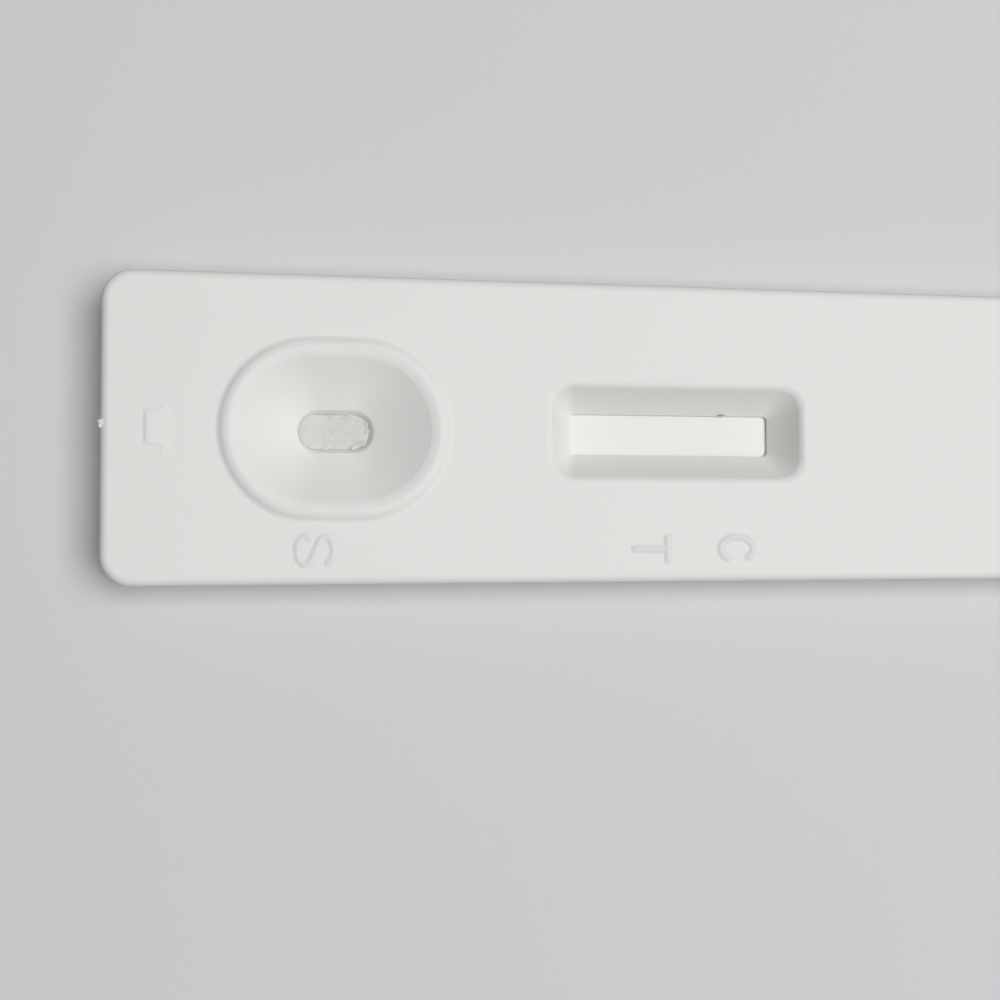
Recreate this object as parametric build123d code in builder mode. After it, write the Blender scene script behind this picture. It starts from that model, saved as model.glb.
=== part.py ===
from build123d import *
import math
import os

# Lateral flow cassette: two moulded half shells, pinned together, hold a layered test strip.
# Millimetres. X runs along the strip from the sample end, Y across it and Z up.
# The origin lies on the underside, below the middle of the casing.

# Casing
length = 70.0
width = 20.0
corner_radius = 2.0
wall = 1.2
floor_thickness = 1.0
top_skin = 1.1
seam_height = 2.3
seam_chamfer = 0.12
top_edge_round = 0.6
foot_edge_round = 0.4
least_corner = 0.3
corner_limit = 0.48

# Test strip and its layers
strip_width = 4.0
strip_end_room = 3.8
bed_height = 0.7
card_thickness = 0.3
membrane_thickness = 0.25
sample_pad_thickness = 0.18
conjugate_pad_thickness = 0.3
absorbent_pad_thickness = 0.7
conjugate_pad_length = 7.5
membrane_margin = 2.6
pad_lap = 2.0
lap_ramp = 0.6

# Sample well: raised rim, dished bowl and slot, all with full round ends
well_from_end = 14.6
well_length = 14.9
well_width = 11.84
rim_height = 0.3
rim_width = 1.05
rim_flank = 0.44
rim_foot_round = 0.5
rim_outer_round = 0.8
rim_inner_reach = 0.34
bowl_depth = 1.9
slot_length = 5.0
slot_width = 2.8
slot_draft = 0.25
slot_edge_round = 0.3

# Result window: bevelled funnel with an upright land at the membrane
window_from_end = 37.4
window_length = 17.5
window_width = 6.3
window_corner = 1.5
window_end_bevel = 1.725
window_side_bevel = 1.76
window_depth = 2.3
window_land = 0.2
window_edge_round = 0.6
opening_corner = 0.35

# Collars under the well and the window, and press bars over the pad laps
collar_root = 0.3
well_collar_wall = 0.55
window_collar_wall = 0.75
bar_thickness = 0.8
absorbent_bar_count = 2

# Pins of the upper half and sockets of the lower half
pin_diameter = 1.6
pin_sides = 6
pin_end_inset = 4.0
pin_side_inset = 3.2
pin_lead = 0.2
pin_tip_room = 0.2
socket_wall = 0.7

# Strip bed of the lower half
rib_thickness = 0.8
guide_thickness = 0.8
guide_length = 3.0

# Clearances
pin_clearance = 0.02
strip_clearance = 0.1
press_clearance = 0.02
window_clearance = 0.05

# Heights that follow from the stack on the floor
bed_top = floor_thickness + bed_height
card_top = bed_top + card_thickness
membrane_top = card_top + membrane_thickness
sample_top = card_top + sample_pad_thickness
window_bottom = membrane_top + window_clearance
top_face = window_bottom + window_depth
top_underside = top_face - top_skin
rim_top = top_face + rim_height
slot_top = top_face - bowl_depth
slot_bottom = sample_top + press_clearance

# Places along the casing
strip_half = length / 2 - wall - strip_end_room
well_x = well_from_end - length / 2
window_x = window_from_end - length / 2
membrane_start = window_x - window_length / 2 - membrane_margin
membrane_end = window_x + window_length / 2 + membrane_margin
conjugate_end = membrane_start + pad_lap
conjugate_start = conjugate_end - conjugate_pad_length
sample_end = conjugate_start + pad_lap
absorbent_start = membrane_end - pad_lap

# Middles of the three laps, and the bars' places that share the absorbent pad's length evenly
sample_lap_x = (conjugate_start + sample_end) / 2
conjugate_lap_x = (membrane_start + conjugate_end) / 2
absorbent_lap_x = (absorbent_start + membrane_end) / 2
absorbent_step = (strip_half - membrane_end) / (absorbent_bar_count + 1)
absorbent_mid_xs = [membrane_end + absorbent_step * (i + 1) for i in range(absorbent_bar_count)]

# Pin places, the same for both halves: two rows of four
end_pin_x = length / 2 - pin_end_inset
near_pin_x = (well_x + well_length / 2 + window_x - window_length / 2) / 2
far_pin_x = (window_x + window_length / 2 + end_pin_x) / 2
pin_y = width / 2 - pin_side_inset
pin_points = [(x, y) for x in (-end_pin_x, near_pin_x, far_pin_x, end_pin_x) for y in (-pin_y, pin_y)]
pin_radius = pin_diameter / 2
socket_radius = pin_radius + pin_clearance + socket_wall


def outline(x, z, outline_length, outline_width, radius):
    """A rounded rectangle at height z whose middle is at x."""
    limit = corner_limit * min(outline_length, outline_width)
    with BuildSketch(Plane((x, 0, z))) as sketch:
        RectangleRounded(outline_length, outline_width, min(radius, limit))
    return sketch.sketch


def round_ended(x, z, outline_length, outline_width):
    """A slot shape with full round ends at height z whose middle is at x."""
    with BuildSketch(Plane((x, 0, z))) as sketch:
        SlotOverall(outline_length, outline_width)
    return sketch.sketch


def lapped_profile(card_end, lap_edge, lap_end, lap_height, thickness):
    """Side view of a pad that lies on the card and climbs onto its neighbour at lap_edge."""
    foot = lap_edge - math.copysign(lap_ramp, lap_end - card_end)
    lap_top = card_top + lap_height
    with BuildSketch(Plane.XZ) as sketch:
        with BuildLine():
            Polyline(
                (card_end, card_top),
                (foot, card_top),
                (lap_edge, lap_top),
                (lap_end, lap_top),
                (lap_end, lap_top + thickness),
                (lap_edge, lap_top + thickness),
                (foot, card_top + thickness),
                (card_end, card_top + thickness),
                close=True,
            )
        make_face()
    return sketch.sketch


# Upper half of the casing
with BuildPart() as top_shell:
    # Rounded block, hollowed from below
    extrude(outline(0, seam_height, length, width, corner_radius), amount=top_face - seam_height)
    fillet(top_shell.faces().sort_by(Axis.Z)[-1].edges(), top_edge_round)
    chamfer(top_shell.faces().sort_by(Axis.Z)[0].edges(), seam_chamfer)
    inner_corner = max(corner_radius - wall, least_corner)
    hollow = outline(0, seam_height, length - 2 * wall, width - 2 * wall, inner_corner)
    extrude(hollow, amount=top_underside - seam_height, mode=Mode.SUBTRACT)

    # Window: collar down to the membrane, then the bevelled funnel and its land
    opening_length = window_length - 2 * window_end_bevel
    opening_width = window_width - 2 * window_side_bevel
    window_collar = (
        outline(
            window_x,
            window_bottom,
            opening_length + 2 * window_collar_wall,
            opening_width + 2 * window_collar_wall,
            opening_corner + window_collar_wall,
        ),
        outline(window_x, top_underside + collar_root, window_length, window_width, window_corner),
    )
    loft(window_collar, ruled=True)
    sill = outline(window_x, window_bottom + window_land, opening_length, opening_width, opening_corner)
    mouth = outline(window_x, top_face, window_length, window_width, window_corner)
    loft((sill, mouth), ruled=True, mode=Mode.SUBTRACT)
    extrude(sill, amount=-window_land, mode=Mode.SUBTRACT)
    fillet(top_shell.faces().sort_by(Axis.Z)[-1].inner_wires()[0].edges(), window_edge_round)

    # Well: collar down to the sample pad and raised rim, then the dished bowl and its slot
    mouth_length = well_length - 2 * rim_width
    mouth_width = well_width - 2 * rim_width
    well_collar = (
        round_ended(
            well_x, slot_bottom, slot_length + 2 * well_collar_wall, slot_width + 2 * well_collar_wall
        ),
        round_ended(well_x, top_underside + collar_root, mouth_length, mouth_width),
    )
    loft(well_collar, ruled=True)
    rim = (
        round_ended(well_x, top_face, well_length, well_width),
        round_ended(well_x, rim_top, well_length - 2 * rim_flank, well_width - 2 * rim_flank),
    )
    loft(rim, ruled=True)
    fillet(top_shell.faces().sort_by(Axis.Z)[-1].edges(), rim_outer_round)
    face_wires = top_shell.faces().filter_by_position(Axis.Z, top_face, top_face)[0].inner_wires()
    fillet(face_wires.sort_by(Axis.X)[0].edges(), rim_foot_round)
    bowl = (
        round_ended(well_x, rim_top, mouth_length, mouth_width),
        round_ended(well_x, slot_top, slot_length, slot_width),
    )
    loft(bowl, ruled=True, mode=Mode.SUBTRACT)
    slot = (
        round_ended(well_x, slot_top, slot_length, slot_width),
        round_ended(well_x, slot_bottom, slot_length - 2 * slot_draft, slot_width - 2 * slot_draft),
    )
    loft(slot, ruled=True, mode=Mode.SUBTRACT)
    fillet(top_shell.edges().filter_by_position(Axis.Z, slot_top, slot_top), slot_edge_round)
    bowl_run = min(mouth_length - slot_length, mouth_width - slot_width) / 2
    steepest = math.atan2(rim_height + bowl_depth, bowl_run)
    rim_inner_round = rim_inner_reach / math.tan(steepest / 2)
    fillet(top_shell.faces().sort_by(Axis.Z)[-1].inner_wires()[0].edges(), rim_inner_round)

    # Bars that press the laps and the absorbent pad onto the bed
    sample_lap_top = card_top + conjugate_pad_thickness + sample_pad_thickness
    conjugate_lap_top = membrane_top + conjugate_pad_thickness
    absorbent_lap_top = membrane_top + absorbent_pad_thickness
    absorbent_top = card_top + absorbent_pad_thickness
    bars = [(sample_lap_x, sample_lap_top), (conjugate_lap_x, conjugate_lap_top)]
    bars += [(absorbent_lap_x, absorbent_lap_top)]
    bars += [(x, absorbent_top) for x in absorbent_mid_xs]
    for bar_x, pad_top in bars:
        bar_bottom = pad_top + press_clearance
        with BuildSketch(Plane((bar_x, 0, bar_bottom))):
            Rectangle(bar_thickness, strip_width)
        extrude(amount=top_underside - bar_bottom)

    # Shouldered six-sided pins with a lead at the tip, whose corners stand just clear of the round sockets
    with BuildSketch(Plane.XY.offset(seam_height)):
        with Locations(*pin_points):
            Circle(socket_radius)
    extrude(amount=top_underside - seam_height)
    pin_tip = floor_thickness + pin_tip_room
    with BuildSketch(Plane.XY.offset(pin_tip)):
        with Locations(*pin_points):
            RegularPolygon(pin_radius, pin_sides)
    extrude(amount=seam_height - pin_tip)
    chamfer(top_shell.edges().group_by(Axis.Z)[0], pin_lead)

# Lower half of the casing
with BuildPart() as bottom_shell:
    # Rounded tray
    extrude(outline(0, 0, length, width, corner_radius), amount=seam_height)
    fillet(bottom_shell.faces().sort_by(Axis.Z)[0].edges(), foot_edge_round)
    chamfer(bottom_shell.faces().sort_by(Axis.Z)[-1].edges(), seam_chamfer)
    tray = outline(0, floor_thickness, length - 2 * wall, width - 2 * wall, inner_corner)
    extrude(tray, amount=seam_height - floor_thickness, mode=Mode.SUBTRACT)

    # Sockets for the pins
    with BuildSketch(Plane.XY.offset(floor_thickness)):
        with Locations(*pin_points):
            Circle(socket_radius)
    extrude(amount=seam_height - floor_thickness)
    with Locations(*[(x, y, seam_height) for x, y in pin_points]):
        Hole(pin_radius + pin_clearance, depth=seam_height - floor_thickness)

    # Cross ribs under the strip, and guides that keep it in line
    rib_xs = [-strip_half + guide_length, well_x, sample_lap_x, conjugate_lap_x, window_x]
    rib_xs += [absorbent_lap_x, *absorbent_mid_xs]
    guide_y = strip_width / 2 + strip_clearance + guide_thickness / 2
    with BuildSketch(Plane.XY.offset(floor_thickness)):
        with Locations(*[(x, 0) for x in rib_xs]):
            Rectangle(rib_thickness, 2 * guide_y)
    extrude(amount=bed_height)
    with BuildSketch(Plane.XY.offset(floor_thickness)):
        with Locations(*[(x, y) for x in rib_xs for y in (-guide_y, guide_y)]):
            Rectangle(guide_length, guide_thickness)
        stop_x = strip_half + strip_clearance + guide_thickness / 2
        with Locations((-stop_x, 0), (stop_x, 0)):
            Rectangle(guide_thickness, strip_width)
    extrude(amount=membrane_top - floor_thickness)

# Card that carries the strip's layers
with BuildPart() as backing_card:
    with BuildSketch(Plane.XY.offset(bed_top)):
        Rectangle(2 * strip_half, strip_width)
    extrude(amount=card_thickness)

# Membrane that shows in the window
with BuildPart() as nitrocellulose_membrane:
    with BuildSketch(Plane(((membrane_start + membrane_end) / 2, 0, card_top))):
        Rectangle(membrane_end - membrane_start, strip_width)
    extrude(amount=membrane_thickness)

# Pad under the sample well, lapped onto the conjugate pad
with BuildPart() as sample_pad:
    side = lapped_profile(
        -strip_half, conjugate_start, sample_end, conjugate_pad_thickness, sample_pad_thickness
    )
    extrude(side, amount=strip_width / 2, both=True)

# Thin pad lapped onto the membrane
with BuildPart() as conjugate_pad:
    side = lapped_profile(
        conjugate_start, membrane_start, conjugate_end, membrane_thickness, conjugate_pad_thickness
    )
    extrude(side, amount=strip_width / 2, both=True)

# Wick at the far end, lapped onto the membrane
with BuildPart() as absorbent_pad:
    side = lapped_profile(
        strip_half, membrane_end, absorbent_start, membrane_thickness, absorbent_pad_thickness
    )
    extrude(side, amount=strip_width / 2, both=True)

nodes = {
    "top_shell": top_shell,
    "bottom_shell": bottom_shell,
    "backing_card": backing_card,
    "nitrocellulose_membrane": nitrocellulose_membrane,
    "sample_pad": sample_pad,
    "conjugate_pad": conjugate_pad,
    "absorbent_pad": absorbent_pad,
}
os.makedirs("parts", exist_ok=True)
for name, node in nodes.items():
    node.part.label = name
    export_step(node.part, f"parts/{name}.step")
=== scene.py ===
import math

import bmesh
import bpy
import numpy as np
from bpy.props import FloatProperty, FloatVectorProperty, IntProperty, PointerProperty
from bpy.types import Operator, Panel, PropertyGroup
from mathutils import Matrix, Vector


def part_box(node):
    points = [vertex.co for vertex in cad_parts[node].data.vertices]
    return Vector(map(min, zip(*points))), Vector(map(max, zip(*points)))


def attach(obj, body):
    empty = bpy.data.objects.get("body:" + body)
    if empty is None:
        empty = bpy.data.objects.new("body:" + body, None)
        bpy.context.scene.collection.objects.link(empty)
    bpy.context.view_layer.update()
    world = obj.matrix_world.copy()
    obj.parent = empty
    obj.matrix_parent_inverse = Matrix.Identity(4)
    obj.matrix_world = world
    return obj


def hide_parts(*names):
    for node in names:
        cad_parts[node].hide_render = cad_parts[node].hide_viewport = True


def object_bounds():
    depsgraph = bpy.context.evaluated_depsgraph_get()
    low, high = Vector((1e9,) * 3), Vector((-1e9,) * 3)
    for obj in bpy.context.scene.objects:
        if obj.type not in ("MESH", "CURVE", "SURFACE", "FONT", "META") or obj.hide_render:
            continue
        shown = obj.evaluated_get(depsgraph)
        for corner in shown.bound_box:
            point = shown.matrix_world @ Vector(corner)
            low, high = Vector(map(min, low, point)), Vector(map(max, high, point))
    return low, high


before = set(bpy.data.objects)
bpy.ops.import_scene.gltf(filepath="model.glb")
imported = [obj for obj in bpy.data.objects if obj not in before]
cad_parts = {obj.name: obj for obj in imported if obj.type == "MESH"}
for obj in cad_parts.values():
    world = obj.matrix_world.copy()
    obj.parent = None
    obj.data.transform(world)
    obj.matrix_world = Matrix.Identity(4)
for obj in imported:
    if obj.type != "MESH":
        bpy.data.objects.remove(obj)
cad_low, cad_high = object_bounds()

bl_info = {
    "name": "Lateral Flow Cassette",
    "version": (1, 0, 0),
    "blender": (4, 5, 0),
    "location": "View3D > Sidebar > Cassette",
    "description": "Finishes a moulded test cassette: casing, strip, raised marks and stage",
    "category": "Object",
}

MM = 0.001
ROOT = "root"

# Lengths of the waves that make surfaces uneven; a lump's are shares of its half sizes
LAYER_WAVES = (0.25 * MM, 0.6 * MM, 1.7 * MM)
SWELL_WAVES = (0.45 * MM, 0.9 * MM, 1.8 * MM)
TUFT_WAVES = (0.65 * MM, 1.3 * MM)
FRAY_WAVES = (0.3 * MM, 0.8 * MM)
FLASH_WAVES = (0.4 * MM,)
LUMP_WAVES = (0.7, 1.6)

# Seeds of the uneven surfaces
SEEDS = {
    "membrane": 11, "sample": 12, "conjugate": 13, "wick": 14, "fibres": 15,
    "swell": 16, "fray": 17, "tufts": 18, "gate": 21, "flash": 22, "speck": 23, "burr_painted_shade": 24,
}

# Angles in degrees between which the stroke of C runs, and its points
C_START = 44.0
C_STOP = 324.0
C_POINTS = 48

WELD_DISTANCE = 1e-8
FLOOR_LINES = 9
SENSOR_WIDTH = 36.0
NEAR_CLIP = 1.0 * MM


# Sizes and colours that a user would change

def length(name, description, millimetres):
    """A length property whose default is given in millimetres."""
    return FloatProperty(
        name=name, description=description, default=millimetres * MM,
        subtype="DISTANCE", unit="LENGTH", precision=5,
    )


def lengths(name, description, *millimetres):
    """A vector property of three lengths, given in millimetres."""
    return FloatVectorProperty(
        name=name, description=description, default=[size * MM for size in millimetres],
        subtype="XYZ", unit="LENGTH", size=3, precision=5,
    )


def colour(name, description, red, green, blue):
    """A scene-linear colour property."""
    return FloatVectorProperty(
        name=name, description=description, default=(red, green, blue),
        subtype="COLOR", size=3, min=0.0, max=1.0,
    )


class CassetteColours(PropertyGroup):
    """Base colours of the casing, the strip and the floor."""

    casing: colour("Casing", "Moulded white plastic of both half shells", 0.74, 0.732, 0.715)
    # The letters' colour is darker than the casing's: painted shade that stands in for the shade on the raised
    # strokes' flanks. Their finish is no rougher than the casing's.
    letters: colour("Letters", "The same plastic, left rougher by the mould's letters", 0.69, 0.682, 0.667)
    card: colour("Card", "Film card under the strip's layers", 0.78, 0.78, 0.77)
    membrane: colour("Membrane", "Porous membrane that shows in the window", 0.75, 0.743, 0.728)
    sample: colour("Sample pad", "Felted fibre under the well", 0.587, 0.604, 0.574)
    conjugate: colour("Conjugate pad", "Glass fibre between sample pad and membrane", 0.82, 0.81, 0.78)
    wick: colour("Absorbent pad", "Soft paper at the far end", 0.85, 0.84, 0.82)
    speck: colour("Speck", "Dark inclusion in the plastic", 0.10, 0.09, 0.085)
    # The burr's dark colour is painted shade: it stands in for a nick in the window's edge that lies in shade.
    burr_painted_shade: colour("Burr", "Soiled burr on the edge of the window", 0.3, 0.295, 0.285)
    floor: colour("Floor", "Plain pale floor", 0.61, 0.615, 0.622)
    backdrop: colour("Backdrop", "Even backdrop that the floor goes over into", 0.585, 0.59, 0.597)


class CassetteMarks(PropertyGroup):
    """Sizes and places of the raised marks on the top face."""

    rim_height: length("Rim height", "Well rim above the top face", 0.3)
    relief: length("Relief", "Height of the letters above the top face", 0.07)
    sink: length("Sink", "Depth by which a mark is let into the face that carries it", 0.05)
    stroke: length("Stroke", "Width of a stroke of T and C at its foot", 0.6)
    sample_stroke: length("S stroke", "Width of the stroke of S at its foot", 0.56)
    sample_relief: length("S relief", "Height of the worn S above the top face", 0.055)
    sample_bowl: FloatProperty(
        name="S bowl", description="Half height of a bowl of S as a share of half the letter's height",
        default=0.45,
    )
    letter_height: length("Letter height", "From foot to top of a letter, along X", 2.86)
    letter_row: length("Letter row", "Distance of the letters' middle from the centre line", 7.78)
    sample_letter: length("S place", "Middle of the letter beside the well", -21.71)
    sample_width: length("S width", "Width of the letter beside the well", 2.3)
    test_letter: length("T place", "Middle of the letter at the test line", 0.4)
    test_width: length("T width", "Width of the letter at the test line", 2.05)
    control_letter: length("C place", "Middle of the letter at the control line", 6.36)
    control_width: length("C width", "Width of the letter at the control line", 2.18)
    arrow_back: length("Arrow back", "Back edge of the arrow", -32.38)
    arrow_barb: length("Arrow barb", "Where the arrow's head begins", -31.3)
    arrow_tip: length("Arrow tip", "Point of the arrow, towards the well", -29.6)
    arrow_back_width: length("Arrow back width", "Width of the arrow's shaft at its back", 2.2)
    arrow_shaft: length("Arrow shaft", "Width of the arrow's shaft at the head", 2.6)
    arrow_head: length("Arrow head", "Width of the arrow's head", 3.6)
    arrow_flank: length("Arrow flank", "Width of the slope round the arrow", 0.3)
    arrow_relief: length("Arrow relief", "Height of the arrow's back above the top face", 0.095)
    arrow_worn: length("Arrow worn", "Where the worn arrow runs out into the top face", -30.4)


class CassetteTraces(PropertyGroup):
    """Sizes and places of the traces that moulding left."""

    gate_place: lengths(
        "Gate place", "Middle of the gate stub from the casing's end, centre line and top", 0.19, 0.24, -0.27
    )
    gate_reach: lengths("Gate reach", "Half sizes of the gate stub", 0.24, 0.32, 0.18)
    flash_start: length("Flash start", "Where the seam's flash begins", 22.6)
    flash_stop: length("Flash stop", "Where the seam's flash ends", 24.9)
    flash_rise: length("Flash rise", "Height of the flash above the seam", 0.06)
    flash_proud: length("Flash proud", "How far the flash stands out", 0.1)
    flash_thickness: length("Flash thickness", "Thickness of the flash", 0.08)
    speck_place: lengths(
        "Speck place", "Middle of the speck along, across and from the top", -23.96, 9.5, -0.14
    )
    speck_reach: lengths("Speck reach", "Half sizes of the speck", 0.09, 0.06, 0.05)
    burr_place: lengths(
        "Burr place", "Middle of the burr along, across and from the membrane", 6.06, 1.46, 0.33
    )
    burr_reach: lengths("Burr reach", "Half sizes of the burr", 0.28, 0.085, 0.06)


class CassetteFibres(PropertyGroup):
    """Unevenness of the strip's layers, and the sample pad's swelling in the slot."""

    felt_depth: length("Felt depth", "Unevenness of the felted pads", 0.025)
    paper_depth: length("Paper depth", "Unevenness of the membrane", 0.006)
    lap_ramp: length("Lap ramp", "Length over which a pad climbs its neighbour", 0.6)
    fibre_count: IntProperty(name="Fibres", description="Loose fibres on the sample pad", default=90, min=1)
    fibre_radius: length("Fibre radius", "Half the thickness of a loose fibre", 0.01)
    fibre_length: length("Fibre length", "Mean length of a loose fibre", 1.6)
    slot_place: length("Slot place", "Middle of the well's slot along the casing", -20.4)
    slot_length: length("Slot length", "Length of the slot at the pad", 4.5)
    slot_width: length("Slot width", "Width of the slot at the pad", 2.3)
    slot_draft: FloatProperty(
        name="Slot draft", description="Lean of the slot's wall as a share of its height", default=0.5
    )
    swell_high: length("Swell high", "Rise of the pad at the near end of the slot", 0.38)
    swell_low: length("Swell low", "Rise of the pad in the rest of the slot", 0.05)
    swell_run: length("Swell run", "Length over which the rise falls off", 1.5)
    swell_rough: length("Swell rough", "Unevenness of the pad in the slot", 0.024)
    swell_climb: length("Swell climb", "Height to which tufts of the pad climb the slot's wall", 0.2)
    swell_tuft: length("Swell tuft", "Width of the band of tufts along the slot's wall", 0.5)
    swell_round: length("Swell round", "Rounding of the pad's edge in the slot", 0.06)
    swell_fray: length("Swell fray", "How far the pad's frayed edge stays back from the slot's wall", 0.03)
    swell_gap: length("Swell gap", "Height of the slot's foot over the pad", 0.02)


class CassetteStage(PropertyGroup):
    """Camera, light and floor."""

    camera_place: FloatVectorProperty(
        name="Camera place", description="Where the camera stands", default=(-0.02244, -0.007485, 0.081828),
        subtype="TRANSLATION", unit="LENGTH", size=3,
    )
    camera_turn: FloatVectorProperty(
        name="Camera turn", description="How the camera is turned",
        default=(math.radians(2.1944), math.radians(-9.292), math.radians(-0.2183)), subtype="EULER", size=3,
    )
    lens_ratio: FloatProperty(
        name="Lens ratio", description="Focal length as a share of the sensor's width", default=1.2, min=0.1
    )
    floor_size: length("Floor size", "Side of the square floor", 3000.0)
    floor_drop: length("Floor drop", "Hair's breadth between the casing's foot and the floor", 0.01)
    floor_near: length("Floor near", "Distance up to which the floor is lit as it is", 120.0)
    floor_far: length("Floor far", "Distance from which the floor is the even backdrop", 320.0)
    key_power: FloatProperty(
        name="Key power", description="Power of the overhead panel in watts", default=5.3
    )
    key_size: length("Key size", "Side of the overhead panel", 500.0)
    key_distance: length("Key distance", "From the casing to the overhead panel", 700.0)
    key_tilt: FloatProperty(
        name="Key tilt", description="Lean of the overhead panel towards the far end",
        default=math.radians(17.0), subtype="ANGLE",
    )
    sky_strength: FloatProperty(name="Sky strength", description="Even light from all round", default=0.06)


# Shader expressions

class Wire:
    """A shader value that joins in Python arithmetic: each operation adds one Math node to its sheet."""

    def __init__(self, sheet, socket):
        self.sheet = sheet
        self.socket = socket

    def math(self, operation, first, second):
        return self.sheet.node("ShaderNodeMath", {"operation": operation}, {0: first, 1: second})

    def __add__(self, other):
        return self.math("ADD", self, other)

    def __radd__(self, other):
        return self.math("ADD", other, self)

    def __sub__(self, other):
        return self.math("SUBTRACT", self, other)

    def __rsub__(self, other):
        return self.math("SUBTRACT", other, self)

    def __mul__(self, other):
        return self.math("MULTIPLY", self, other)

    def __rmul__(self, other):
        return self.math("MULTIPLY", other, self)


class Sheet:
    """The node sheet of one finish, or of the sky."""

    def __init__(self, owner):
        owner.use_nodes = True
        self.owner = owner
        self.tree = owner.node_tree
        self.tree.nodes.clear()

    def node(self, kind, settings=None, inputs=None, output=0):
        """Adds a node: its settings first, then the value or link of each socket. Returns one output."""
        node = self.tree.nodes.new(kind)
        for key, value in (settings or {}).items():
            setattr(node, key, value)
        for key, value in (inputs or {}).items():
            if isinstance(value, Wire):
                self.tree.links.new(value.socket, node.inputs[key])
            else:
                node.inputs[key].default_value = value
        return Wire(self, node.outputs[output]) if len(node.outputs) else None

    def place(self):
        """Object coordinates, which are metres in the part's own frame."""
        return self.node("ShaderNodeTexCoord", output="Object")

    def noise(self, place, grain, detail=2.0, roughness=0.5):
        """Noise from 0 to 1 whose features are about one grain across."""
        inputs = {"Vector": place, "Scale": 1.0 / grain, "Detail": detail, "Roughness": roughness}
        return self.node("ShaderNodeTexNoise", None, inputs, "Fac")

    def tone(self, factor, rgb, dark, light):
        """A colour from its dark shade, where the factor is 0, to its light one, where it is 1."""
        settings = {"data_type": "RGBA", "blend_type": "MIX"}
        return self.node("ShaderNodeMix", settings, {0: factor, 6: shade(rgb, dark), 7: shade(rgb, light)}, 2)

    def bump(self, height, depth):
        """A normal from a height of 0 to 1 that stands depth metres high."""
        inputs = {"Height": height, "Distance": depth, "Strength": 1.0}
        return self.node("ShaderNodeBump", None, inputs, "Normal")

    def close(self, **sockets):
        """Ends the sheet in a Principled shader with these sockets, and returns the material."""
        inputs = {key.replace("_", " "): value for key, value in sockets.items()}
        shader = self.node("ShaderNodeBsdfPrincipled", None, inputs, "BSDF")
        self.node("ShaderNodeOutputMaterial", None, {"Surface": shader})
        return self.owner

    def seen(self):
        """One for rays that show the backdrop, straight or reflected, and zero for those that light the part."""
        path = self.node("ShaderNodeLightPath", output="Is Camera Ray")
        outputs = path.socket.node.outputs
        rays = path + Wire(self, outputs["Is Glossy Ray"]) + Wire(self, outputs["Is Transmission Ray"])
        return self.node("ShaderNodeClamp", None, {"Value": rays})


def new_finish(name):
    """The empty sheet of a new material."""
    return Sheet(bpy.data.materials.new(name))


def shade(rgb, factor):
    """An RGBA colour, lightened or darkened by a factor."""
    return tuple(min(channel * factor, 1.0) for channel in rgb) + (1.0,)


def casing_plastic(name, rgb, cloud_size=9.0 * MM, grain_size=0.12 * MM, grain_depth=0.0025 * MM):
    """Satin moulded plastic: faint clouds of tone, and the fine grain that a spark-eroded mould leaves."""
    sheet = new_finish(name)
    place = sheet.place()
    cloud = sheet.noise(place, cloud_size, detail=3.0)
    grain = sheet.noise(place, grain_size)
    return sheet.close(
        Base_Color=sheet.tone(cloud, rgb, dark=0.985, light=1.015), Roughness=0.55 + 0.10 * cloud,
        Normal=sheet.bump(grain, grain_depth), Specular_IOR_Level=0.35,
    )


def card_film(colours, mark_width=0.2 * MM, mark_depth=0.002 * MM, stretch=(0.05, 1.0, 1.0)):
    """Smooth film card with faint rolling marks along it."""
    sheet = new_finish("card_film_finish")
    stretched = sheet.node("ShaderNodeMapping", None, {"Vector": sheet.place(), "Scale": stretch}, "Vector")
    marks = sheet.noise(stretched, mark_width)
    tone = sheet.tone(marks, colours.card, dark=0.98, light=1.02)
    return sheet.close(Base_Color=tone, Roughness=0.35 + 0.1 * marks, Normal=sheet.bump(marks, mark_depth))


def membrane_paper(colours, cloud_size=1.4 * MM, pore_size=0.03 * MM, pore_depth=0.006 * MM):
    """Chalky porous membrane: very fine pores and a soft cloudiness."""
    sheet = new_finish("membrane_finish")
    place = sheet.place()
    cloud = sheet.noise(place, cloud_size, detail=4.0)
    pores = sheet.noise(place, pore_size, detail=3.0)
    tone = sheet.tone(cloud, colours.membrane, dark=0.985, light=1.01)
    return sheet.close(Base_Color=tone, Roughness=0.85 + 0.1 * pores, Normal=sheet.bump(pores, pore_depth))


def felt(name, rgb, grain, cloud_size=0.5 * MM, streak_depth=0.012 * MM):
    """Felted fibre: tangled streaks in two directions over a soft cloudiness."""
    sheet = new_finish(name)
    place = sheet.place()
    cloud = sheet.noise(place, cloud_size, detail=3.0)
    layers = []
    for stretch in ((0.2, 1.0, 1.0), (1.0, 0.25, 1.0)):
        stretched = sheet.node("ShaderNodeMapping", None, {"Vector": place, "Scale": stretch}, "Vector")
        layers.append(sheet.noise(stretched, grain, detail=3.0, roughness=0.6))
    streaks = layers[0] * 0.5 + layers[1] * 0.5
    tone = sheet.tone(cloud * 0.5 + streaks * 0.5, rgb, dark=0.86, light=1.11)
    return sheet.close(Base_Color=tone, Roughness=0.9, Normal=sheet.bump(streaks, streak_depth))


def dark_speck_and_shade(name, rgb, cloud_size=0.05 * MM):
    """Dull dark finish with an uneven tone: a real inclusion for the speck, and painted shade for the burr."""
    sheet = new_finish(name)
    cloud = sheet.noise(sheet.place(), cloud_size)
    return sheet.close(Base_Color=sheet.tone(cloud, rgb, dark=0.7, light=1.4), Roughness=0.7)


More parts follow.
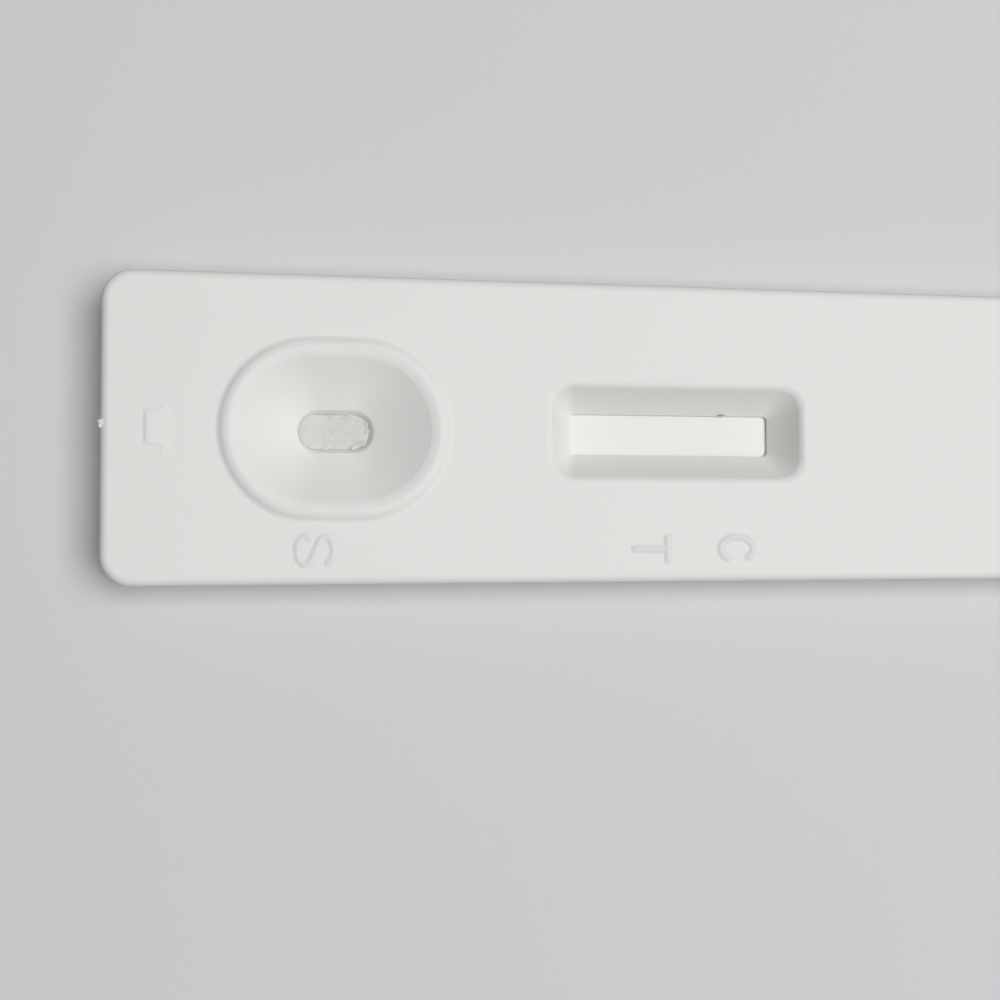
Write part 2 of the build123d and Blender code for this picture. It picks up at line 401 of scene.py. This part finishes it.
def floor_paint(stage, colours, cloud_size=40.0 * MM):
    """Matt pale floor that takes the part's shadow, and further out goes over into the even backdrop."""
    sheet = new_finish("floor_finish")
    place = sheet.place()
    tone = sheet.tone(sheet.noise(place, cloud_size), colours.floor, dark=0.99, light=1.01)
    paint = sheet.node("ShaderNodeBsdfPrincipled", None, {"Base Color": tone, "Roughness": 0.9}, "BSDF")
    glow = sheet.node("ShaderNodeEmission", None, {"Color": shade(colours.backdrop, 1.0)}, "Emission")
    far = sheet.node("ShaderNodeVectorMath", {"operation": "LENGTH"}, {0: place}, "Value")
    limits = {"Value": far, "From Min": stage.floor_near, "From Max": stage.floor_far}
    edge = sheet.node("ShaderNodeMapRange", {"interpolation_type": "SMOOTHSTEP"}, limits, "Result")
    mixed = sheet.node("ShaderNodeMixShader", None, {0: edge * sheet.seen(), 1: paint, 2: glow})
    sheet.node("ShaderNodeOutputMaterial", None, {"Surface": mixed})
    return sheet.owner


def studio_sky(stage, colours):
    """Weak even light from all round, seen by the camera as the pale backdrop."""
    sheet = Sheet(bpy.data.worlds.new("studio"))
    light = {"Color": (1.0, 1.0, 1.0, 1.0), "Strength": stage.sky_strength}
    even = sheet.node("ShaderNodeBackground", None, light, "Background")
    pale = sheet.node("ShaderNodeBackground", None, {"Color": shade(colours.backdrop, 1.0)}, "Background")
    mixed = sheet.node("ShaderNodeMixShader", None, {0: sheet.seen(), 1: even, 2: pale})
    sheet.node("ShaderNodeOutputWorld", None, {"Surface": mixed})
    return sheet.owner


# Surfaces

def smooth_step(t):
    """Zero up to 0, one from 1 on, and the cubic 3t^2 - 2t^3 between them."""
    t = np.clip(t, 0.0, 1.0)
    return t * t * (3.0 - 2.0 * t)


def ripple(seed, x, y, sizes, waves=14, shortest=0.7, longest=1.4):
    """Unevenness from -1 to 1: for each size, a mean of sine waves about that long in random directions,
    times the square root of their number. A wave's length is from shortest to longest times the size."""
    rng = np.random.default_rng(seed)
    total = np.zeros(np.broadcast(x, y).shape)
    for size in sizes:
        turn = rng.uniform(0.0, math.tau, waves)
        phase = rng.uniform(0.0, math.tau, waves)
        pitch = math.tau / (size * rng.uniform(shortest, longest, waves))
        along = np.multiply.outer(np.cos(turn) * pitch, x) + np.multiply.outer(np.sin(turn) * pitch, y)
        total += np.sin(along + phase.reshape((-1,) + (1,) * np.ndim(x))).mean(0)
    return np.clip(total / len(sizes) * math.sqrt(waves), -1.0, 1.0)


def surface(name, sheets, around=True, sharp=35.0):
    """An object from grids of points, shaped (grids, rows, columns, 3). Each cell of a grid is one quad, the
    columns close on themselves if around is set, and rows that shrink to a point become poles."""
    grids, rows, columns = sheets.shape[:3]
    index = np.arange(grids * rows * columns).reshape(grids, rows, columns)
    ahead = np.roll(index, -1, axis=2) if around else index[:, :, 1:]
    here = index if around else index[:, :, :-1]
    quads = np.stack([here[:, :-1], ahead[:, :-1], ahead[:, 1:], here[:, 1:]], axis=-1).reshape(-1, 4)
    mesh = bpy.data.meshes.new(name)
    mesh.vertices.add(index.size)
    mesh.vertices.foreach_set("co", np.ascontiguousarray(sheets, dtype=np.float32).ravel())
    mesh.loops.add(quads.size)
    mesh.loops.foreach_set("vertex_index", quads.ravel().astype(np.int32))
    mesh.polygons.add(len(quads))
    mesh.polygons.foreach_set("loop_start", np.arange(0, quads.size, 4, dtype=np.int32))
    mesh.update(calc_edges=True)
    work = bmesh.new()
    work.from_mesh(mesh)
    bmesh.ops.remove_doubles(work, verts=work.verts, dist=WELD_DISTANCE)
    bmesh.ops.recalc_face_normals(work, faces=work.faces)
    work.to_mesh(mesh)
    work.free()
    mesh.shade_smooth()
    mesh.set_sharp_from_angle(angle=math.radians(sharp))
    piece = bpy.data.objects.new(name, mesh)
    bpy.context.scene.collection.objects.link(piece)
    return piece


def settle(piece, material):
    """Gives a piece its finish, and lets it ride on the casing."""
    piece.data.materials.append(material)
    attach(piece, ROOT)
    return piece


def rounded_section(width, thickness, radius, across=41, corner=5):
    """A closed loop of (sideways, upward) points: a rectangle whose corners are quarter circles."""
    turn = np.linspace(0.0, math.pi / 2.0, corner)
    half_width = width / 2.0 - radius
    half_thick = thickness / 2.0 - radius
    flat = np.linspace(half_width, -half_width, across)[1:-1]
    loops = []
    for quarter, (side, up) in enumerate(((1, 1), (-1, 1), (-1, -1), (1, -1))):
        angle = turn + quarter * math.pi / 2.0
        sideways = side * half_width + radius * np.cos(angle)
        upward = up * half_thick + radius * np.sin(angle)
        loops.append(np.stack([sideways, upward], 1))
        if quarter == 0:
            loops.append(np.stack([flat, np.full_like(flat, thickness / 2.0)], 1))
        if quarter == 2:
            loops.append(np.stack([-flat, np.full_like(flat, -thickness / 2.0)], 1))
    return np.concatenate(loops)


def strip_layer(name, low, high, thickness, lap, radius, depth, seed, step, corner=6, least_rows=8):
    """A layer of the strip: a rounded section carried along X from low to high. lap is None or (edge,
    height, ramp): the path climbs by height along a smooth step that ends at edge. A ripple sinks the
    surface by up to depth."""
    width = high.y - low.y
    section = rounded_section(width, thickness, radius)
    turn = np.linspace(0.0, math.pi / 2.0, corner)
    rows = max(int((high.x - low.x) / step), least_rows)
    body = np.linspace(low.x + radius, high.x - radius, rows)
    x = np.concatenate([[low.x], low.x + radius * (1 - np.sin(turn[::-1])), body[1:-1],
                        high.x - radius * (1 - np.sin(turn)), [high.x]])
    inset = np.concatenate([[radius], radius * (1 - np.cos(turn[::-1])), np.zeros(rows - 2),
                            radius * (1 - np.cos(turn)), [radius]])
    shrink = np.ones_like(x)
    shrink[[0, -1]] = 0.0
    climb = np.zeros_like(x)
    if lap:
        edge, height, ramp = lap
        climb = height * smooth_step(1.0 + (x - edge) / ramp)
    sideways = section[:, 0] * ((width / 2 - inset) / (width / 2) * shrink)[:, None]
    upward = section[:, 1] * ((thickness / 2 - inset) / (thickness / 2) * shrink)[:, None]
    x_grid = np.repeat(x[:, None], section.shape[0], axis=1)
    dip = depth * (0.5 + 0.5 * ripple(seed, x_grid, sideways, LAYER_WAVES))
    upward = upward - np.sign(upward) * np.minimum(dip, np.abs(upward))
    z = low.z + thickness / 2 + climb[:, None] + upward
    points = np.stack([x_grid, sideways, z], axis=-1)
    return surface(name, points[None], sharp=60.0)


def round_ended(slot_length, slot_width, curve=33, straight=24):
    """Outline of a slot, and its outward normals: two half circles joined by straight runs."""
    turn = np.linspace(-math.pi / 2, math.pi / 2, curve)
    run = np.linspace(1.0, -1.0, straight + 2)[1:-1]
    upright = np.full(straight, math.pi / 2)
    angle = np.concatenate([turn, upright, turn + math.pi, -upright])
    along = np.concatenate([np.ones(curve), run, -np.ones(curve), -run]) * (slot_length - slot_width) / 2
    normal = np.stack([np.cos(angle), np.sin(angle)], axis=1)
    return np.stack([along, np.zeros_like(along)], axis=1) + normal * slot_width / 2, normal


def slot_inside(fibres, x, y):
    """Distance of a place from the slot's outline: its half width less the distance to its middle line."""
    straight = (fibres.slot_length - fibres.slot_width) / 2
    beside = np.maximum(np.abs(x - fibres.slot_place) - straight, 0.0)
    return fibres.slot_width / 2 - np.hypot(beside, y)


def swell_top(fibres, x, y):
    """Height of the pad's swelling in the slot: a smooth step along X, from the high rise at the slot's
    near end down to the low rise one run further on, roughened by a ripple. Along the wall, the crests of a
    second ripple climb as tufts: a smooth step ends them inwards, and they fade out in the high rise."""
    near = fibres.slot_place - fibres.slot_length / 2
    fall = smooth_step(1.0 - (x - near) / fibres.swell_run)
    rough = fibres.swell_rough * ripple(SEEDS["swell"], x, y, SWELL_WAVES)
    crest = np.clip(ripple(SEEDS["tufts"], x, y, TUFT_WAVES), 0.0, 1.0)
    band = smooth_step(1.0 - slot_inside(fibres, x, y) / fibres.swell_tuft)
    tufts = fibres.swell_climb * crest * band * (1.0 - fall)
    return fibres.swell_low + (fibres.swell_high - fibres.swell_low) * fall + rough + tufts


def swell_cover(fibres, x, y):
    """Height of the swelling over any place of the pad: nothing outside the slot's outline, and inside it a
    smooth step over the width of the edge's rounding up to the swelling's top."""
    return swell_top(fibres, x, y) * smooth_step(slot_inside(fibres, x, y) / fibres.swell_round)


def pad_swell(name, fibres, level, sink, corner=6, rings=27):
    """The pad's swelling in the slot: a foot let in by sink, an edge that leans out with the slot's wall,
    held back from it by a ripple and rounded over by a quarter circle, and rings that shrink from there to
    the middle at the height of swell_top."""
    outline, normal = round_ended(fibres.slot_length, fibres.slot_width)
    outline = outline + (fibres.slot_place, 0.0)
    x, y = outline.T
    top = swell_top(fibres, x, y)
    edge_round = np.minimum(fibres.swell_round, top)
    fray = fibres.swell_fray * (0.5 - 0.5 * ripple(SEEDS["fray"], x, y, FRAY_WAVES))
    reach = fibres.slot_draft * (top - edge_round - fibres.swell_gap) - fray
    turn = np.linspace(0.0, math.pi / 2, corner)[:, None]
    foot = [np.full_like(top, -sink), np.zeros_like(top)]
    out = np.concatenate([[-fray - fibres.swell_round, -fray], reach - edge_round * (1.0 - np.cos(turn))])
    up = np.concatenate([foot, top - edge_round * (1.0 - np.sin(turn))])
    wall = outline + normal * out[:, :, None]
    middle = np.array((fibres.slot_place, 0.0))
    share = np.linspace(1.0, 0.0, rings)[1:, None, None]
    field = middle + share * (wall[-1] - middle)
    pole = np.broadcast_to(middle, field[:1].shape)
    plan = np.concatenate([pole, wall, field])
    height = np.concatenate([up[:1], up, swell_top(fibres, field[..., 0], field[..., 1])])
    points = np.concatenate([plan, level + height[:, :, None]], axis=2)
    return surface(name, points[None], sharp=60.0)


def loose_fibres(
    name, low, high, count, fibre_length, radius, ground, seed,
    rings=9, sides=5, length_spread=0.35, curl=0.8, deepest=-0.9, highest=0.3, bluntness=6,
):
    """Fibres on a pad: thin tubes with tapered ends, each along a shallow arc of random place, turn and
    bend. ground gives the height at a place over the flat pad. A fibre lies from deepest to highest radii
    over it, and its girth is the square root of 1 - |2s|^bluntness, where s runs from -1/2 to 1/2."""
    rng = np.random.default_rng(seed)
    spread = rng.lognormal(0.0, length_spread, count) * fibre_length
    heading = rng.uniform(0.0, math.pi, count)
    bend = rng.normal(0.0, curl, count)
    middle_x = rng.uniform(low.x, high.x, count)
    middle_y = rng.uniform(low.y, high.y, count)
    s = np.linspace(-0.5, 0.5, rings)
    turn = heading[:, None] + bend[:, None] * s
    x = middle_x[:, None] + np.cumsum(np.cos(turn), 1) * spread[:, None] / rings
    y = middle_y[:, None] + np.cumsum(np.sin(turn), 1) * spread[:, None] / rings
    x = np.clip(x, low.x, high.x)
    y = np.clip(y, low.y, high.y)
    lift = rng.uniform(deepest, highest, count)[:, None] * radius * np.ones_like(s)
    girth = radius * np.sqrt(np.clip(1.0 - (2.0 * s) ** bluntness, 0.0, 1.0))
    angle = np.arange(sides) * math.tau / sides
    out = girth[None, :, None] * np.cos(angle)
    up = girth[None, :, None] * np.sin(angle)
    points = np.stack([
        x[:, :, None] - np.sin(turn)[:, :, None] * out,
        y[:, :, None] + np.cos(turn)[:, :, None] * out,
        high.z + (ground(x, y) + lift)[:, :, None] + up,
    ], axis=-1)
    return surface(name, points, sharp=80.0)


def raised_stroke(path, half_width, relief, sink, section=17, cap=7):
    """One raised stroke with round ends, as a (rows, columns, 3) grid. The height above the face follows
    from the distance r to the middle line, in half widths: relief times the square of 1 - r^2. The foot is
    let in by sink."""
    along = np.gradient(path, axis=0)
    along /= np.linalg.norm(along, axis=1, keepdims=True)
    turn = np.linspace(math.pi / 2.0, 0.0, cap)
    reach = np.concatenate([-np.sin(turn), np.zeros(len(path) - 2), np.sin(turn[::-1])])
    narrow = np.concatenate([np.cos(turn), np.ones(len(path) - 2), np.cos(turn[::-1])])
    pick = np.concatenate([np.zeros(cap, int), np.arange(1, len(path) - 1), np.full(cap, len(path) - 1)])
    centre = path[pick] + along[pick] * (reach * half_width)[:, None]
    side = np.stack([-along[pick][:, 1], along[pick][:, 0]], axis=1)
    across = np.concatenate([np.linspace(1.0, -1.0, section), np.linspace(-1.0, 1.0, section)])
    top = np.arange(2 * section) < section
    offset = narrow[:, None] * across
    r = np.clip(np.hypot(offset, reach[:, None]), 0.0, 1.0)
    height = np.where(top, relief * (1.0 - r ** 2) ** 2, -sink)
    plan = centre[:, None, :] + side[:, None, :] * (offset * half_width)[:, :, None]
    return np.concatenate([plan, height[:, :, None]], axis=2)


def letter(name, strokes, width, relief, sink, middle, row, face):
    """A letter of raised strokes. A stroke's points are (rightward, upward); up is +X and right is -Y."""
    grids = [raised_stroke(stroke, width / 2, relief, sink) for stroke in strokes]
    rows = max(len(grid) for grid in grids)
    pads = [np.concatenate([grid, np.repeat(grid[-1:], rows - len(grid), axis=0)]) for grid in grids]
    local = np.stack(pads)
    points = np.stack([middle + local[..., 1], row - local[..., 0], face + local[..., 2]], axis=-1)
    return surface(name, points, sharp=50.0)


def arc(centre_up, half_width, half_height, start, stop, points=28):
    """Points along an ellipse, from one angle to another in degrees."""
    angle = np.radians(np.linspace(start, stop, points))
    return np.stack([half_width * np.cos(angle), centre_up + half_height * np.sin(angle)], axis=1)


def line(start, stop, points=12):
    """Points along a straight run."""
    return np.linspace(np.array(start), np.array(stop), points)


def s_stroke(half_width, half_height, bowl, start=20.0, stop=-205.0):
    """The line of an S: two elliptic bowls of half height b, their middles c above and below the letter's
    middle, joined by the straight spine that touches both, where the sine of the angle is b / c."""
    b = bowl * half_height
    c = half_height - b
    touch = math.degrees(math.asin(b / c))
    upper = arc(c, half_width, b, start, 180.0 + touch)
    lower = arc(-c, half_width, b, touch, stop)
    return np.concatenate([upper, lower])


def plateau(name, outline, middle, face, relief, sink, flank, worn_out, samples=12, steps=9):
    """A raised field inside an outline that runs anticlockwise: rings offset inwards from the outline,
    whose height follows a smooth step over the flank's width, and a field from the last ring to the middle.
    The height falls off evenly along X, from the whole at the outline's back to nothing at worn_out and
    below the face past it."""
    after = np.roll(outline, -1, axis=0) - outline
    normal = np.stack([-after[:, 1], after[:, 0]], axis=1) / np.linalg.norm(after, axis=1, keepdims=True)
    last = np.roll(normal, 1, axis=0)
    mitre = (last + normal) / (1.0 + (last * normal).sum(1, keepdims=True))
    fall = np.linspace(0.0, 1.0, steps)
    corners = outline + (flank * (1.0 - fall))[:, None, None] * mitre
    edge = np.roll(corners, -1, axis=1) - corners
    step = np.linspace(0.0, 1.0, samples, endpoint=False)
    rings = (corners[:, :, None] + step[None, None, :, None] * edge[:, :, None]).reshape(len(fall), -1, 2)
    pole = np.broadcast_to(middle, rings[:1].shape)
    plan = np.concatenate([pole, (pole + rings[:1]) / 2, rings, rings[-1:], pole])
    height = np.concatenate([[relief, relief], relief * (1.0 - smooth_step(fall)), [-sink, -sink]])
    back = outline[:, 0].min()
    worn = (worn_out - plan[:, :, 0]) / (worn_out - back)
    z = face + np.where(height[:, None] > 0.0, height[:, None] * worn, height[:, None])
    return surface(name, np.concatenate([plan, z[:, :, None]], axis=2)[None], sharp=50.0)


def torn_lump(name, centre, reach, seed, roughness, rings=15, sides=24):
    """A rough lump: an ellipsoid in latitude and longitude, its radius varied by a ripple."""
    latitude = np.linspace(-math.pi / 2, math.pi / 2, rings)[:, None]
    longitude = (np.arange(sides) * math.tau / sides)[None, :]
    ring = np.cos(latitude)
    x = ring * np.cos(longitude)
    y = ring * np.sin(longitude)
    z = np.repeat(np.sin(latitude), sides, 1)
    swell = 1.0 + roughness * ripple(seed, x + z, y - z, LUMP_WAVES)
    unit = np.stack([x, y, z], axis=-1)
    return surface(name, (np.array(centre) + unit * np.array(reach) * swell[..., None])[None], sharp=40.0)


def flash_fin(name, start, stop, side, height, proud, thickness, seed, rows=40, section=12, uneven=0.2):
    """A thin fin of flash along a seam: a flat oval section carried along X, standing proud by an arch that a
    ripple makes uneven. The arch is the square root of half a sine wave."""
    t = np.linspace(0.0, 1.0, rows)
    x = start + (stop - start) * t
    arch = np.sqrt(np.clip(np.sin(t * math.pi), 0.0, 1.0))
    reach = proud * arch * (1.0 - uneven + uneven * ripple(seed, x, np.zeros_like(x), FLASH_WAVES))
    angle = np.arange(section) * math.tau / section
    y = side - reach[:, None] * np.cos(angle)
    z = height + thickness / 2 * arch[:, None] * np.sin(angle)
    return surface(name, np.stack([np.repeat(x[:, None], section, 1), y, z], axis=-1)[None])


# Operators

def top_face(scene):
    """Height of the casing's top face, which carries the marks."""
    return cad_high.z - scene.cassette_marks.rim_height


def shell_finish():
    """The finish that the upper shell wears."""
    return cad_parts["top_shell"].material_slots[0].material


class CASSETTE_OT_casing(Operator):
    """Give both half shells and the card their finishes"""

    bl_idname = "cassette.casing"
    bl_label = "Finish the casing"

    def execute(self, context):
        colours = context.scene.cassette_colours
        plastic = casing_plastic("casing_plastic_finish", colours.casing)
        finishes = {"top_shell": plastic, "bottom_shell": plastic, "backing_card": card_film(colours)}
        for node, finish in finishes.items():
            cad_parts[node].material_slots[0].material = finish
        return {"FINISHED"}


class CASSETTE_OT_strip(Operator):
    """Build the membrane and the three pads of the test strip, with the swelling and fibres in the well"""

    bl_idname = "cassette.strip"
    bl_label = "Build the strip"

    def execute(self, context):
        colours = context.scene.cassette_colours
        fibres = context.scene.cassette_fibres
        boxes = {node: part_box(node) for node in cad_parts}
        membrane = boxes["nitrocellulose_membrane"]
        sample = boxes["sample_pad"]
        conjugate = boxes["conjugate_pad"]
        wick = boxes["absorbent_pad"]
        film = membrane[1].z - membrane[0].z
        thin = conjugate[1].z - conjugate[0].z - film
        thick = sample[1].z - sample[0].z - thin
        soft = wick[1].z - wick[0].z - film
        ramp = fibres.lap_ramp
        sample_felt = felt("sample_felt_finish", colours.sample, grain=0.05 * MM)
        conjugate_felt = felt("conjugate_felt_finish", colours.conjugate, grain=0.04 * MM)
        wick_paper = felt("wick_finish", colours.wick, grain=0.08 * MM)
        layers = (
            ("membrane_sheet", "nitrocellulose_membrane", "membrane", membrane_paper(colours), dict(
                thickness=film, lap=None, radius=0.03 * MM, depth=fibres.paper_depth,
                seed=SEEDS["membrane"], step=0.2 * MM,
            )),
            ("sample_felt", "sample_pad", "sample_fibre", sample_felt, dict(
                thickness=thick, lap=(conjugate[0].x, thin, ramp), radius=0.06 * MM, depth=fibres.felt_depth,
                seed=SEEDS["sample"], step=0.08 * MM,
            )),
            ("conjugate_felt", "conjugate_pad", "conjugate_fibre", conjugate_felt, dict(
                thickness=thin, lap=(membrane[0].x, film, ramp), radius=0.07 * MM, depth=fibres.felt_depth,
                seed=SEEDS["conjugate"], step=0.1 * MM,
            )),
            ("wick_paper_pad", "absorbent_pad", "wick_paper", wick_paper, dict(
                thickness=soft, lap=(membrane[1].x, film, -ramp), radius=0.12 * MM, depth=fibres.felt_depth,
                seed=SEEDS["wick"], step=0.12 * MM,
            )),
        )
        for name, node, slot, finish, shape in layers:
            piece = settle(strip_layer(name, *boxes[node], **shape), finish)
            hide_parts(node)
        level = sample[0].z + thick
        high = sample[1].copy()
        high.x = conjugate[0].x - ramp
        high.z = level - fibres.felt_depth / 2
        strands = loose_fibres(
            "sample_fibres", sample[0], high, fibres.fibre_count, fibres.fibre_length, fibres.fibre_radius,
            lambda x, y: swell_cover(fibres, x, y), SEEDS["fibres"],
        )
        settle(strands, sample_felt)
        swell = pad_swell("sample_swell", fibres, level, context.scene.cassette_marks.sink)
        settle(swell, sample_felt)
        return {"FINISHED"}


class CASSETTE_OT_letters(Operator):
    """Raise the three index letters on the top face"""

    bl_idname = "cassette.letters"
    bl_label = "Raise the letters"

    def execute(self, context):
        marks = context.scene.cassette_marks
        # The letters' darker colour is painted shade for the flanks of their strokes
        plastic = casing_plastic("letter_painted_shade_finish", context.scene.cassette_colours.letters)
        face = top_face(context.scene)
        half = (marks.letter_height - marks.stroke) / 2
        s_half = (marks.letter_height - marks.sample_stroke) / 2
        s_side = (marks.sample_width - marks.sample_stroke) / 2
        t_side = (marks.test_width - marks.stroke) / 2
        c_side = (marks.control_width - marks.stroke) / 2
        letters = (
            ("letter_s", marks.sample_letter, marks.sample_stroke, marks.sample_relief,
             [s_stroke(s_side, s_half, marks.sample_bowl)]),
            ("letter_t", marks.test_letter, marks.stroke, marks.relief,
             [line((-t_side, half), (t_side, half)), line((0.0, half), (0.0, -half))]),
            ("letter_c", marks.control_letter, marks.stroke, marks.relief,
             [arc(0.0, c_side, half, C_START, C_STOP, C_POINTS)]),
        )
        for name, middle, width, relief, strokes in letters:
            piece = letter(name, strokes, width, relief, marks.sink, middle, -marks.letter_row, face)
            settle(piece, plastic)
        return {"FINISHED"}


class CASSETTE_OT_arrow(Operator):
    """Raise the arrow that points to the well"""

    bl_idname = "cassette.arrow"
    bl_label = "Raise the arrow"

    def execute(self, context):
        marks = context.scene.cassette_marks
        back = marks.arrow_back_width / 2
        shaft = marks.arrow_shaft / 2
        head = marks.arrow_head / 2
        outline = np.array([
            (marks.arrow_back, -back), (marks.arrow_barb, -shaft), (marks.arrow_barb, -head),
            (marks.arrow_tip, 0.0),
            (marks.arrow_barb, head), (marks.arrow_barb, shaft), (marks.arrow_back, back),
        ])
        middle = np.array(((marks.arrow_barb + marks.arrow_tip) / 2, 0.0))
        piece = plateau(
            "flow_arrow", outline, middle, top_face(context.scene), marks.arrow_relief, marks.sink,
            marks.arrow_flank, marks.arrow_worn,
        )
        settle(piece, shell_finish())
        return {"FINISHED"}


class CASSETTE_OT_moulding(Operator):
    """Add the traces that moulding left: gate stub, flash, speck and burr"""

    bl_idname = "cassette.moulding"
    bl_label = "Add moulding traces"

    def execute(self, context):
        colours = context.scene.cassette_colours
        traces = context.scene.cassette_traces
        plastic = shell_finish()
        dark = dark_speck_and_shade("speck_finish", colours.speck)
        # The burr's dark finish is painted shade for a shaded nick in the window's edge
        painted_shade = dark_speck_and_shade("burr_finish", colours.burr_painted_shade)
        face = top_face(context.scene)
        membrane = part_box("nitrocellulose_membrane")[1].z
        lumps = (
            ("gate_stub", plastic, (cad_low.x, 0.0, face), traces.gate_place,
             dict(reach=traces.gate_reach, seed=SEEDS["gate"], roughness=0.35)),
            ("plastic_speck", dark, (0.0, 0.0, face), traces.speck_place,
             dict(reach=traces.speck_reach, seed=SEEDS["speck"], roughness=0.4)),
            ("window_burr", painted_shade, (0.0, 0.0, membrane), traces.burr_place,
             dict(reach=traces.burr_reach, seed=SEEDS["burr_painted_shade"], roughness=0.4)),
        )
        for name, finish, corner, offset, shape in lumps:
            lump = torn_lump(name, np.add(corner, offset), **shape)
            settle(lump, finish)
        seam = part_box("bottom_shell")[1].z + traces.flash_rise
        fin = flash_fin(
            "seam_flash", traces.flash_start, traces.flash_stop, cad_low.y, seam,
            traces.flash_proud, traces.flash_thickness, SEEDS["flash"],
        )
        settle(fin, plastic)
        return {"FINISHED"}


class CASSETTE_OT_stage(Operator):
    """Set the floor, the light and the camera"""

    bl_idname = "cassette.stage"
    bl_label = "Set the stage"

    def execute(self, context):
        stage = context.scene.cassette_stage
        scene = context.scene
        scene.view_settings.view_transform = "Standard"
        side = np.linspace(-stage.floor_size / 2, stage.floor_size / 2, FLOOR_LINES)
        x, y = np.meshgrid(side, side, indexing="ij")
        level = np.full_like(x, cad_low.z - stage.floor_drop)
        floor = surface("floor", np.stack([x, y, level], axis=-1)[None], around=False)
        floor.data.materials.append(floor_paint(stage, scene.cassette_colours))
        scene.world = studio_sky(stage, scene.cassette_colours)
        panel = bpy.data.lights.new("key_panel", "AREA")
        panel.shape = "SQUARE"
        panel.size = stage.key_size
        panel.energy = stage.key_power
        key = bpy.data.objects.new("key_panel", panel)
        key.rotation_euler = (0.0, stage.key_tilt, 0.0)
        key.location = (
            stage.key_distance * math.sin(stage.key_tilt), 0.0, stage.key_distance * math.cos(stage.key_tilt)
        )
        scene.collection.objects.link(key)
        lens = bpy.data.cameras.new("camera")
        lens.sensor_width = SENSOR_WIDTH
        lens.lens = lens.sensor_width * stage.lens_ratio
        lens.clip_start = NEAR_CLIP
        camera = bpy.data.objects.new("camera", lens)
        camera.location = stage.camera_place
        camera.rotation_euler = stage.camera_turn
        scene.collection.objects.link(camera)
        scene.camera = camera
        return {"FINISHED"}


class CASSETTE_PT_panel(Panel):
    """Lists the steps that dress the cassette"""

    bl_idname = "CASSETTE_PT_panel"
    bl_label = "Cassette"
    bl_space_type = "VIEW_3D"
    bl_region_type = "UI"
    bl_category = "Cassette"

    def draw(self, context):
        for step in STEPS:
            self.layout.operator(step.bl_idname)


GROUPS = {
    "cassette_colours": CassetteColours,
    "cassette_marks": CassetteMarks,
    "cassette_traces": CassetteTraces,
    "cassette_fibres": CassetteFibres,
    "cassette_stage": CassetteStage,
}
STEPS = (
    CASSETTE_OT_casing, CASSETTE_OT_strip, CASSETTE_OT_letters, CASSETTE_OT_arrow, CASSETTE_OT_moulding,
    CASSETTE_OT_stage,
)
CLASSES = (*GROUPS.values(), *STEPS, CASSETTE_PT_panel)


def register():
    for item in CLASSES:
        bpy.utils.register_class(item)
    for name, group in GROUPS.items():
        setattr(bpy.types.Scene, name, PointerProperty(type=group))


def unregister():
    for name in GROUPS:
        delattr(bpy.types.Scene, name)
    for item in reversed(CLASSES):
        bpy.utils.unregister_class(item)


def main():
    """Registers the add-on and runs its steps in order."""
    register()
    bpy.ops.cassette.casing()
    bpy.ops.cassette.strip()
    bpy.ops.cassette.letters()
    bpy.ops.cassette.arrow()
    bpy.ops.cassette.moulding()
    bpy.ops.cassette.stage()


if __name__ == "__main__":
    main()
